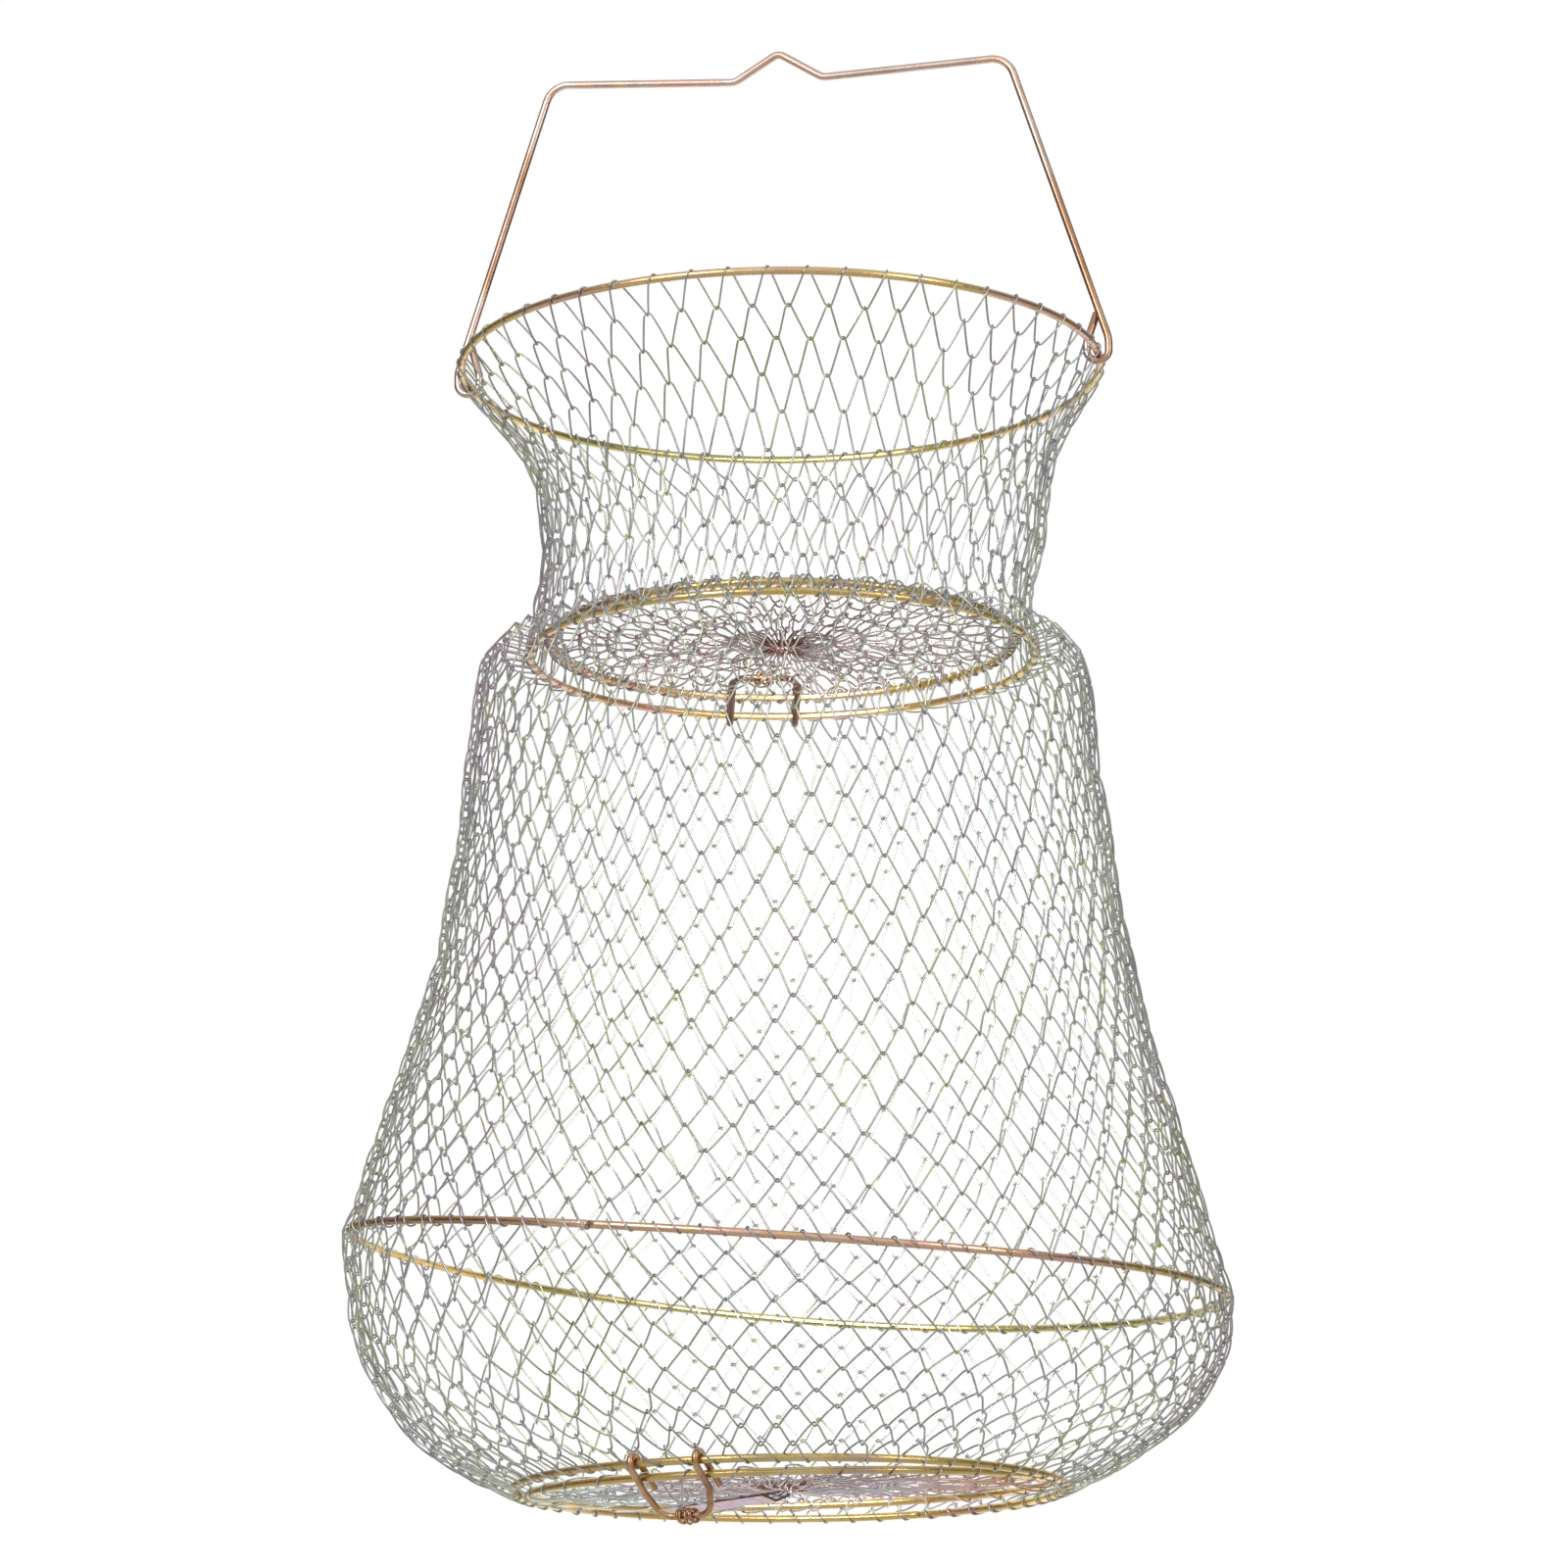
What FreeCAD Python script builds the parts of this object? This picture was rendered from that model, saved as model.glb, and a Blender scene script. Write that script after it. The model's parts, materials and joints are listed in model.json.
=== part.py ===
import FreeCAD, Part
import math
import os
from FreeCAD import Matrix, Vector

# Folding crab trap: a collapsible basket of chain-link wire netting, hung from a wire handle.
# Millimetres, +Z up. The origin is the point that the trap hangs from, under the handle's V.
# The basket hangs below it: funnel mouth, narrow neck with a door, bell, belly ring, bowl, and
# a second door at the bottom. The netting folds row by row, so it is made as bands that nest
# inside each other when the basket is pushed flat. Each band is a ring of flat panels.

os.makedirs("parts", exist_ok=True)

# ---- wire sizes (radii) ----
RING_WIRE = 1.5
HANDLE_WIRE = 1.5
HINGE_WIRE = 1.3
GATHER_WIRE = 1.3

# ---- rings: radius to the wire's centre, and height ----
MOUTH_R, MOUTH_Z = 124.1, -129.0
NECK_R, NECK_Z = 97.1, -244.0
BELLY_R, BELLY_Z = 165.0, -483.6
BOTTOM_R, BOTTOM_Z = 103.1, -564.5
RING_GAP_DEG = 0.3  # the butt joint where a ring's two ends meet
BELLY_SLOPE_X = -0.089  # the belly ring hangs askew: rise per mm along +X
BELLY_SLOPE_Y = 0.036  # and per mm along +Y

# ---- handle ----
BAR_Z = -6.0  # wire centre at the two corners
V_FOOT_Z = -9.5
V_PEAK_Z = HANDLE_WIRE
V_HALF = 17.5
CORNER_X = 91.0
CORNER_BEND = 9.0
EYE_HALF_WIDTH = 4.25
EYE_CENTRE_UP = 1.25  # the bend's centre above the ring's centre: the ring rests in the eye
EYE_SIDE_UP = 6.0
EYE_TAIL = (-0.5, 3.15, 17.0)  # outward, behind, up from the ring's centre

# ---- doors ----
HOOK_HALF_SPAN = 13.0
HOOK_BEND = 3.2
U_CORNER_BEND = 6.0
U_HALF_WIDTH = 9.5
KNEE_BEND = 3.5
NET_THICK = 1.2
NET_RIM_GAP = 0.6
GATHER_R = 6.5
GATHER_HOLE = 8.4
HOOK_SLOT = (13.0, 1.7)  # inward and half width: each hook's tail passes through the netting here
TIE_TURNS = 4
TIE_PITCH = 1.5
TIE_WIRE = 1.0

TOP_DOOR = dict(
    ring_r=89.2, hinge_deg=104.0, fixed_r=NECK_R, fixed_z=NECK_Z, outward=1,
    centre_out=5.8, lean_deg=0.0, u_reach=20.4, u_out=10.6, knee_past=4.5, tail_past=9.0,
)
BOTTOM_DOOR = dict(
    ring_r=96.5, hinge_deg=-106.3, fixed_r=BOTTOM_R, fixed_z=BOTTOM_Z, outward=-1,
    centre_out=0.0, lean_deg=2.73, u_reach=16.6, u_out=17.8, knee_past=4.5, tail_past=9.5,
)

# ---- bottom door plate, a shallow V of sheet from the centre to the rim ----
PLATE_DEG = 129.6
PLATE_FROM, PLATE_TO = 9.6, 88.0
PLATE_HALF_WIDTH = 6.0
PLATE_THICK = 1.0
PLATE_CREASE = 2.2

# ---- netting bands: (radius, height) at each edge, and how much of the belly's slope they take ----
PANELS = 16
NET_WALL = 1.0
PANEL_GAP_DEG = 0.25
BANDS = {
    "funnel_net_1": ([(118.5, -139.5), (107.0, -161.5)], 0.0),
    "funnel_net_2": ([(104.8, -163.0), (100.5, -185.0)], 0.0),
    "funnel_net_3": ([(98.3, -186.5), (97.0, -208.5)], 0.0),
    "funnel_net_4": ([(95.2, -210.0), (94.4, -231.0)], 0.0),
    "shoulder_net": ([(104.0, -243.5), (113.0, -243.0)], 0.0),
    "bell_net_1": ([(115.5, -247.0), (122.0, -284.0)], 0.0),
    "bell_net_2": ([(124.0, -285.5), (128.5, -322.0)], 0.1),
    "bell_net_3": ([(130.5, -323.5), (136.0, -360.0)], 0.3),
    "bell_net_4": ([(138.0, -361.5), (146.5, -398.0)], 0.5),
    "bell_net_5": ([(148.5, -399.5), (158.0, -435.0)], 0.7),
    "bell_net_6": ([(160.0, -436.5), (165.0, -469.0)], 0.9),
    "bowl_net_1": ([(166.5, -491.0), (164.0, -512.0)], 0.9),
    "bowl_net_2": ([(162.0, -514.0), (151.0, -539.0)], 0.5),
    "bowl_net_3": ([(149.0, -541.0), (134.0, -552.5), (111.0, -562.0)], 0.0),
}


def sloped(shape, share):
    """Shear a shape so that it takes a share of the belly ring's slope."""
    shear = Matrix()
    shear.A31 = share * BELLY_SLOPE_X
    shear.A32 = share * BELLY_SLOPE_Y
    return shape.transformGeometry(shear)


def ring(radius, height, joint_deg=0.0):
    """A round wire ring with a fine butt joint at joint_deg."""
    shape = Part.makeTorus(
        radius, RING_WIRE, Vector(0, 0, 0), Vector(0, 0, 1), -180, 180, 360 - RING_GAP_DEG
    )
    shape.rotate(Vector(0, 0, 0), Vector(0, 0, 1), joint_deg + RING_GAP_DEG / 2)
    shape.translate(Vector(0, 0, height))
    return shape


def belly_ring():
    """The widest ring, tipped about its own centre."""
    shape = ring(BELLY_R, 0, -125.0)
    normal = Vector(-BELLY_SLOPE_X, -BELLY_SLOPE_Y, 1)
    shape.Placement = FreeCAD.Placement(
        Vector(0, 0, BELLY_Z), FreeCAD.Rotation(Vector(0, 0, 1), normal)
    ).multiply(shape.Placement)
    return shape


def rounded_path(points, bends):
    """A wire through the points, with a tangent arc of the given radius at each inner point."""
    edges = []
    start = points[0]
    for i in range(1, len(points) - 1):
        into = (points[i] - points[i - 1]).normalize()
        out = (points[i + 1] - points[i]).normalize()
        half = into.getAngle(out) / 2
        reach = bends[i - 1] * math.tan(half)
        first = points[i] - into * reach
        last = points[i] + out * reach
        inward = (out - into).normalize()
        middle = points[i] + inward * (bends[i - 1] / math.cos(half) - bends[i - 1])
        if (first - start).Length > 1e-4:
            edges.append(Part.LineSegment(start, first).toShape())
        edges.append(Part.Arc(first, middle, last).toShape())
        start = last
    edges.append(Part.LineSegment(start, points[-1]).toShape())
    return Part.Wire(edges)


def bent_wire(points, bends, radius):
    """A round wire swept along a rounded path."""
    path = rounded_path(points, bends)
    along = (points[1] - points[0]).normalize()
    section = Part.Wire([Part.Circle(points[0], along, radius).toShape()])
    return path.makePipeShell([section], True, False)


def handle_points(side):
    """Half the handle, from the V's foot out to the end of the eye."""
    outer = MOUTH_R + EYE_HALF_WIDTH
    inner = MOUTH_R - EYE_HALF_WIDTH
    under = MOUTH_Z + EYE_CENTRE_UP - EYE_HALF_WIDTH
    tail_out, tail_back, tail_up = EYE_TAIL
    flat = [
        (V_HALF, 0, V_FOOT_Z),
        (CORNER_X, 0, BAR_Z),
        (outer, 0, MOUTH_Z + EYE_SIDE_UP),
        (outer, 0, under),
        (inner, 0, under),
        (inner, 0, MOUTH_Z + EYE_SIDE_UP - 1.5),
        (MOUTH_R + tail_out, tail_back, MOUTH_Z + tail_up),
    ]
    return [Vector(side * x, y, z) for x, y, z in flat]


def handle():
    """One wire: eye, arm, bar with a V in its middle, arm, eye."""
    bends = [6.0, CORNER_BEND, 12.0, EYE_HALF_WIDTH, EYE_HALF_WIDTH, 6.0]
    right = handle_points(1)
    left = handle_points(-1)
    points = left[::-1] + [Vector(0, 0, V_PEAK_Z)] + right
    return bent_wire(points, bends[::-1] + [4.0] + bends, HANDLE_WIRE)


def panel(edge_a, edge_b, start_deg, end_deg):
    """One flat panel of a band: a convex solid between two edges of the band's profile."""
    corners = []
    for radius, height in (edge_a, edge_b):
        for shrink in (0.0, NET_WALL):
            for deg in (start_deg, end_deg):
                turn = math.radians(deg)
                r = radius - shrink
                corners.append(Vector(r * math.cos(turn), r * math.sin(turn), height))
    a0, a1, ai0, ai1, b0, b1, bi0, bi1 = corners
    quads = [
        (a0, a1, b1, b0), (ai0, bi0, bi1, ai1), (a0, ai0, ai1, a1),
        (b0, b1, bi1, bi0), (a0, b0, bi0, ai0), (a1, ai1, bi1, b1),
    ]
    faces = [Part.Face(Part.makePolygon(list(quad) + [quad[0]])) for quad in quads]
    solid = Part.Solid(Part.Shell(faces))
    if solid.Volume < 0:
        solid.reverse()
    return solid


def band(profile, share):
    """One band of netting, as flat panels all round, with a hair gap between panels."""
    step = 360.0 / PANELS
    solids = []
    for edge_a, edge_b in zip(profile[:-1], profile[1:]):
        for i in range(PANELS):
            start = i * step + PANEL_GAP_DEG
            end = (i + 1) * step - PANEL_GAP_DEG
            solids.append(panel(edge_a, edge_b, start, end))
    shape = Part.Compound(solids)
    return sloped(shape, share) if share else shape


def flat_band(profile):
    """The shoulder: a nearly level ring of panels, with its thickness downward."""
    (inner, inner_z), (outer, outer_z) = profile
    step = 360.0 / PANELS
    solids = []
    for i in range(PANELS):
        start = math.radians(i * step + PANEL_GAP_DEG)
        end = math.radians((i + 1) * step - PANEL_GAP_DEG)
        outline = [
            Vector(r * math.cos(turn), r * math.sin(turn), 0)
            for r, turn in ((inner, start), (outer, start), (outer, end), (inner, end))
        ]
        face = Part.Face(Part.makePolygon(outline + [outline[0]]))
        face.translate(Vector(0, 0, min(inner_z, outer_z) - NET_WALL))
        solids.append(face.extrude(Vector(0, 0, NET_WALL)))
    return Part.Compound(solids)


def hinge_reach(door):
    """Distance from the trap's axis to the line through the two hooks' centres."""
    return math.sqrt(door["fixed_r"] ** 2 - HOOK_HALF_SPAN ** 2)


def hinge_matrix(door):
    """Hinge frame to trap frame: x inward from the hinge, z out of the door's outer face."""
    turn = math.radians(door["hinge_deg"])
    inward = Vector(-math.cos(turn), -math.sin(turn), 0)
    out = Vector(0, 0, door["outward"])
    side = out.cross(inward)
    at = inward * -hinge_reach(door) + Vector(0, 0, door["fixed_z"])
    return Matrix(
        inward.x, side.x, out.x, at.x,
        inward.y, side.y, out.y, at.y,
        inward.z, side.z, out.z, at.z,
        0, 0, 0, 1,
    )


def door_matrix(door):
    """Door frame to hinge frame: the door's centre, leaned about the hinge direction."""
    lean = Matrix()
    lean.rotateY(math.radians(door["lean_deg"]))
    shift = Matrix()
    shift.move(Vector(hinge_reach(door), 0, door["centre_out"]))
    return shift.multiply(lean)


def place(shape, matrix):
    """Set a shape at a matrix that only turns and moves."""
    placed = shape.copy()
    placed.Placement = FreeCAD.Placement(matrix).multiply(shape.Placement)
    return placed


def in_door(shape, door):
    """Door frame to trap frame."""
    return place(shape, hinge_matrix(door).multiply(door_matrix(door)))


def door_ring(door):
    """The door's own wire ring, with its butt joint away from the hinge."""
    return in_door(ring(door["ring_r"], 0, 60.0), door)


def door_net(door):
    """The door's netting: a thin disc with a centre hole and a slot for each hook's tail."""
    radius = door["ring_r"] - RING_WIRE - NET_RIM_GAP
    disc = Part.makeCylinder(radius, NET_THICK, Vector(0, 0, -NET_THICK / 2))
    disc = disc.cut(Part.makeCylinder(GATHER_HOLE, 3 * NET_THICK, Vector(0, 0, -1.5 * NET_THICK)))
    depth, half = HOOK_SLOT
    for side in (-1, 1):
        corner = Vector(-radius - 0.5, side * HOOK_HALF_SPAN - half, -1.5 * NET_THICK)
        disc = disc.cut(Part.makeBox(depth, 2 * half, 3 * NET_THICK, corner))
    return in_door(disc, door)


def door_gather(door):
    """The ring of drawn-together netting at the door's centre."""
    return in_door(Part.makeTorus(GATHER_R, GATHER_WIRE), door)


def hinge_wire_points(door):
    """Half of the hinge wire in the hinge frame, from the tail's end to the U's corner."""
    lean = math.radians(door["lean_deg"])
    chord = math.sqrt(door["ring_r"] ** 2 - HOOK_HALF_SPAN ** 2)
    ring_in = hinge_reach(door) - chord * math.cos(lean)
    ring_out = door["centre_out"] + chord * math.sin(lean)
    span = math.hypot(ring_in, ring_out)
    along = Vector(ring_in / span, 0, ring_out / span)
    outer = Vector(-along.z, 0, along.x) * HOOK_BEND
    back = along * -HOOK_BEND
    side = Vector(0, HOOK_HALF_SPAN, 0)
    return [
        along * (span + door["tail_past"]) - outer + side,
        back - outer + side,
        back + outer + side,
        along * (span + door["knee_past"]) + outer + side,
        Vector(door["u_reach"], U_HALF_WIDTH, door["u_out"]),
    ]


def mirrored(points):
    """The same points on the other side of the hinge, in reverse order."""
    return [Vector(p.x, -p.y, p.z) for p in reversed(points)]


def door_hinge_wire(door):
    """The U of wire with a hook at each end that loops round the fixed ring and the door ring."""
    half = hinge_wire_points(door)
    bends = [HOOK_BEND, HOOK_BEND, KNEE_BEND, U_CORNER_BEND]
    wire = bent_wire(half + mirrored(half), bends + bends[::-1], HINGE_WIRE)
    return place(wire, hinge_matrix(door))


def rounded_bar(width, height, length):
    """A bar along Y with its four long edges rounded."""
    box = Part.makeBox(width, length, height, Vector(-width / 2, -length / 2, -height / 2))
    long_edges = [e for e in box.Edges if abs(e.tangentAt(e.FirstParameter).y) > 0.9]
    return box.makeFillet(0.45 * min(width, height), long_edges)


def tie_loop(width, height):
    """One turn of the tie: a rounded frame round the hinge wire."""
    hole = rounded_bar(width - 2 * TIE_WIRE, height - 2 * TIE_WIRE, 2 * TIE_WIRE)
    return rounded_bar(width, height, TIE_WIRE).cut(hole)


def door_tie(door):
    """A few turns of wire round the middle of the U, standing on the door's netting."""
    inverse = door_matrix(door).inverse()
    middle = inverse.multVec(Vector(door["u_reach"], 0, door["u_out"]))
    low = NET_THICK / 2 + 0.15
    high = middle.z + HINGE_WIRE + 0.2 + TIE_WIRE
    height = high - low
    width = 2 * (HINGE_WIRE + 0.2 + TIE_WIRE)
    turn = tie_loop(width, height)
    turns = []
    for i in range(TIE_TURNS):
        loop = turn.copy()
        loop.translate(Vector(middle.x, (i - (TIE_TURNS - 1) / 2) * TIE_PITCH, (low + high) / 2))
        turns.append(loop)
    return in_door(Part.Compound(turns), door)


def bottom_door_plate():
    """The creased strip on the bottom door's outer face, from its centre out to its rim."""
    low = NET_THICK / 2 + 0.2
    section = [
        (-PLATE_HALF_WIDTH, low), (0, low + PLATE_CREASE), (PLATE_HALF_WIDTH, low),
        (PLATE_HALF_WIDTH, low + PLATE_THICK), (0, low + PLATE_CREASE + PLATE_THICK),
        (-PLATE_HALF_WIDTH, low + PLATE_THICK),
    ]
    outline = [Vector(PLATE_FROM, y, z) for y, z in section]
    face = Part.Face(Part.makePolygon(outline + [outline[0]]))
    strip = face.extrude(Vector(PLATE_TO - PLATE_FROM, 0, 0))
    turn = hinge_matrix(BOTTOM_DOOR).inverse()
    way = Vector(math.cos(math.radians(PLATE_DEG)), math.sin(math.radians(PLATE_DEG)), 0)
    local = turn.multVec(way) - turn.multVec(Vector(0, 0, 0))
    strip.rotate(Vector(0, 0, 0), Vector(0, 0, 1), math.degrees(math.atan2(local.y, local.x)))
    return in_door(strip, BOTTOM_DOOR)


def build():
    """Every node of the trap, by name."""
    nodes = {
        "handle": handle(),
        "mouth_ring": ring(MOUTH_R, MOUTH_Z, 150.0),
        "neck_ring": ring(NECK_R, NECK_Z, 40.0),
        "belly_ring": belly_ring(),
        "bottom_ring": ring(BOTTOM_R, BOTTOM_Z, 70.0),
        "bottom_door_plate": bottom_door_plate(),
    }
    for name, door in (("top_door", TOP_DOOR), ("bottom_door", BOTTOM_DOOR)):
        nodes[name + "_ring"] = door_ring(door)
        nodes[name + "_net"] = door_net(door)
        nodes[name + "_gather"] = door_gather(door)
        nodes[name + "_hinge_wire"] = door_hinge_wire(door)
        nodes[name + "_tie"] = door_tie(door)
    for name, (profile, share) in BANDS.items():
        nodes[name] = flat_band(profile) if name == "shoulder_net" else band(profile, share)
    return nodes


for node_name, node_shape in build().items():
    node_shape.exportStep(os.path.join("parts", node_name + ".step"))
    print(node_name, "valid", node_shape.isValid(), "solids", len(node_shape.Solids),
          "volume", round(node_shape.Volume, 1))
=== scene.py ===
import json
import math

import bpy
import numpy as np
from mathutils import Matrix, Quaternion, Vector


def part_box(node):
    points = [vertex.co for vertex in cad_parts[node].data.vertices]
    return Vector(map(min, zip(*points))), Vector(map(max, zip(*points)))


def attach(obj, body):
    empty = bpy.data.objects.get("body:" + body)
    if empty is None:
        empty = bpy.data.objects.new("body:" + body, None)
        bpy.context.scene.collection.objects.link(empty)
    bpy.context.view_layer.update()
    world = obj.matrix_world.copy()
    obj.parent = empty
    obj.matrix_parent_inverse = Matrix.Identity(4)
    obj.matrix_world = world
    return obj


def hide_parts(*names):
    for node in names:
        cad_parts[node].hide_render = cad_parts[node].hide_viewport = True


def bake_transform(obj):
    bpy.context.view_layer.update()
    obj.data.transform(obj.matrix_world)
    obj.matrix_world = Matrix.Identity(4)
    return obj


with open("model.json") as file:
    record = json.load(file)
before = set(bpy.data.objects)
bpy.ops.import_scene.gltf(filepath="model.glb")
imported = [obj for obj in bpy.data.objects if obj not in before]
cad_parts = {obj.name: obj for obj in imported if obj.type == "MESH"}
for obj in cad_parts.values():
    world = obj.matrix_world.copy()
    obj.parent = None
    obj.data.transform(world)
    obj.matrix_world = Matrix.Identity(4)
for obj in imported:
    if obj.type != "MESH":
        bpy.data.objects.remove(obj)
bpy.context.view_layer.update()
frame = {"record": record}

# Folding crab trap, in metres, in the row frame: +Z up, the origin where it hangs.
# The rings and the chain-link netting are made here as real wire. The handle, the two
# hinge wires and the plate are the CAD solids with better materials.

MM = 0.001

# ---- wire and ring sizes ----
RING_WIRE = 1.5 * MM
NET_WIRE = 0.37 * MM
BELLY_SLOPE = (-0.089, 0.036)  # rise of the belly ring per metre along X and Y
BELLY_BEND = 2.6 * MM  # how far its left and right sides stand above its front and back

# ---- netting: knots all round, and the length of one leg between knots ----
FUNNEL_COLUMNS, FUNNEL_LEG, FUNNEL_ROWS = 53, 14.0 * MM, 9
BODY_COLUMNS, BODY_LEG = 60, 12.8 * MM
BELL_ROWS, BOWL_ROWS = 25, 11
DOOR_LEG = 14.3 * MM
KNOT = dict(reach=1.15 * MM, lift=0.5 * MM, drift=1.15 * MM)
WRAP = dict(reach=1.95 * MM, lift=1.95 * MM, drift=1.3 * MM)
WALL_BULGE = 0.32 * MM  # how far a leg bows out of the netting's face
FUNNEL_LEAN = 4.5 * MM  # how far the funnel's netting hangs to +X between its rings
EYE_ROOM = 4.0 * MM  # how far the knots next to the handle's eyes are pushed aside

# ---- doors: sag is how far the middle hangs, slack how uneven the knots are ----
DOORS = {
    "top_door": dict(columns=36, rows=7, sag=2.8 * MM, bulge=1.2 * MM, slack=2.2),
    "bottom_door": dict(columns=32, rows=6, sag=1.2 * MM, bulge=0.6 * MM, slack=1.5),
}
BOTTOM_DOOR_LEAN = 2.73  # degrees, the side away from its hinge up
TIE_WIRE = 0.42 * MM
LACING_WIRE, LACING_TURNS = 0.34 * MM, 104

# ---- light ----
WORLD_DIM = 0.20
KEY_POWER = 20.0
INNER_POWER = 0.6
BEHIND_POWER = 0.95
FLOOR_HEIGHT = -2.7

# ---- the photograph's view ----
CAMERA_AZIMUTH, CAMERA_ELEVATION = 9.0, -13.15
CAMERA_DISTANCE, CAMERA_LENS = 2.263, 135.6
CAMERA_TARGET = (0.0001, 0.0, -0.2945)
CAMERA_ROLL = -0.42  # degrees


# ------------------------------------------------------------------ camera and light

def make_camera():
    """The camera at the photograph's angle, below the trap and looking up at it."""
    data = bpy.data.cameras.new("camera")
    data.lens = CAMERA_LENS
    data.sensor_width = 36.0
    data.clip_end = 50.0
    camera = bpy.data.objects.new("camera", data)
    bpy.context.collection.objects.link(camera)
    a, e = math.radians(CAMERA_AZIMUTH), math.radians(CAMERA_ELEVATION)
    back = Vector((math.sin(a) * math.cos(e), -math.cos(a) * math.cos(e), math.sin(e)))
    camera.location = Vector(CAMERA_TARGET) + back * CAMERA_DISTANCE
    camera.rotation_mode = "QUATERNION"
    level = (-back).to_track_quat("-Z", "Y")
    camera.rotation_quaternion = level @ Quaternion((0, 0, 1), math.radians(CAMERA_ROLL))
    bpy.context.scene.camera = camera


def area_light(name, location, size, power, colour=(1, 1, 1)):
    """A soft box that faces the trap."""
    data = bpy.data.lights.new(name, "AREA")
    data.shape = "RECTANGLE"
    data.size, data.size_y = size
    data.energy = power
    data.color = colour
    light = bpy.data.objects.new(name, data)
    bpy.context.collection.objects.link(light)
    light.location = location
    aim = Vector((0, 0, -0.33)) - Vector(location)
    light.rotation_mode = "QUATERNION"
    light.rotation_quaternion = aim.to_track_quat("-Z", "Y")
    return light


def make_world():
    """What the wire reflects: a bright soft front, a paler top, and dim sides and back."""
    world = bpy.data.worlds.new("studio")
    bpy.context.scene.world = world
    world.use_nodes = True
    nodes, links = world.node_tree.nodes, world.node_tree.links
    nodes.clear()
    coord = nodes.new("ShaderNodeTexCoord")
    total = None
    for way, low, high, strength in (
            ((0.10, -0.95, 0.30), 0.25, 0.95, 0.85), ((0.0, 0.25, 0.97), 0.30, 0.95, 0.70)):
        dot = nodes.new("ShaderNodeVectorMath")
        dot.operation = "DOT_PRODUCT"
        dot.inputs[1].default_value = way
        links.new(coord.outputs["Generated"], dot.inputs[0])
        ranged_dot = nodes.new("ShaderNodeMapRange")
        ranged_dot.interpolation_type = "SMOOTHSTEP"
        ranged_dot.inputs["From Min"].default_value = low
        ranged_dot.inputs["From Max"].default_value = high
        ranged_dot.inputs["To Max"].default_value = strength
        links.new(dot.outputs["Value"], ranged_dot.inputs["Value"])
        add = nodes.new("ShaderNodeMath")
        add.inputs[1].default_value = WORLD_DIM
        links.new(ranged_dot.outputs["Result"], add.inputs[0])
        if total is not None:
            links.new(total, add.inputs[1])
        total = add.outputs["Value"]
    background = nodes.new("ShaderNodeBackground")
    out = nodes.new("ShaderNodeOutputWorld")
    links.new(total, background.inputs["Strength"])
    links.new(background.outputs["Background"], out.inputs["Surface"])


def make_backdrop():
    """A plain white surround that is only seen directly and lights nothing."""
    bpy.ops.mesh.primitive_uv_sphere_add(radius=12, segments=48, ring_count=24)
    backdrop = bpy.context.object
    backdrop.name = "backdrop"
    material = bpy.data.materials.new("backdrop")
    material.use_nodes = True
    nodes, links = material.node_tree.nodes, material.node_tree.links
    nodes.clear()
    glow = nodes.new("ShaderNodeEmission")
    glow.inputs["Color"].default_value = (1, 1, 1, 1)
    out = nodes.new("ShaderNodeOutputMaterial")
    links.new(glow.outputs["Emission"], out.inputs["Surface"])
    backdrop.data.materials.append(material)
    backdrop.visible_glossy = False
    backdrop.visible_diffuse = False
    backdrop.visible_shadow = False


def make_stage():
    """A pale floor well below the hanging trap, soft lights, and light on the far wall.

    The panel behind the trap is what the undersides of both doors and the far wall reflect.
    """
    bpy.ops.mesh.primitive_plane_add(size=20, location=(0, 0, FLOOR_HEIGHT))
    floor = bpy.context.object
    floor.name = "floor"
    material = bpy.data.materials.new("floor")
    material.use_nodes = True
    shader = material.node_tree.nodes["Principled BSDF"]
    shader.inputs["Base Color"].default_value = (0.86, 0.86, 0.85, 1)
    shader.inputs["Roughness"].default_value = 0.9
    floor.data.materials.append(material)
    area_light("key", (-0.9, -1.9, 0.5), (0.9, 1.1), KEY_POWER)
    area_light("fill", (1.5, -1.0, 0.1), (0.4, 1.4), KEY_POWER * 0.4)
    for height, size, power in ((-0.40, (0.16, 0.26), 1.0), (-0.19, (0.10, 0.08), 0.25)):
        inner = area_light(
            f"inner_{int(-100 * height)}", (0, -0.02, height), size, INNER_POWER * power)
        inner.rotation_quaternion = Vector((0, 1, -0.05)).to_track_quat("-Z", "Z")
        inner.data.spread = math.radians(100)
        inner.visible_camera = False
    behind = area_light("behind", (0, 0.235, -0.43), (0.52, 0.66), BEHIND_POWER)
    behind.rotation_quaternion = Vector((0, -1, 0)).to_track_quat("-Z", "Z")
    behind.visible_camera = False


# ------------------------------------------------------------------ materials

def colour_ramp(nodes, stops):
    """A colour ramp with the given (position, colour) stops."""
    ramp = nodes.new("ShaderNodeValToRGB")
    elements = ramp.color_ramp.elements
    while len(elements) < len(stops):
        elements.new(0.5)
    for element, (position, colour) in zip(elements, stops):
        element.position = position
        element.color = (*colour, 1)
    return ramp


def noise(tree, coord, scale, detail=2.0, rough=0.5):
    """A noise texture on object coordinates."""
    node = tree.nodes.new("ShaderNodeTexNoise")
    node.inputs["Scale"].default_value = scale
    node.inputs["Detail"].default_value = detail
    node.inputs["Roughness"].default_value = rough
    tree.links.new(coord, node.inputs["Vector"])
    return node.outputs["Fac"]


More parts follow.
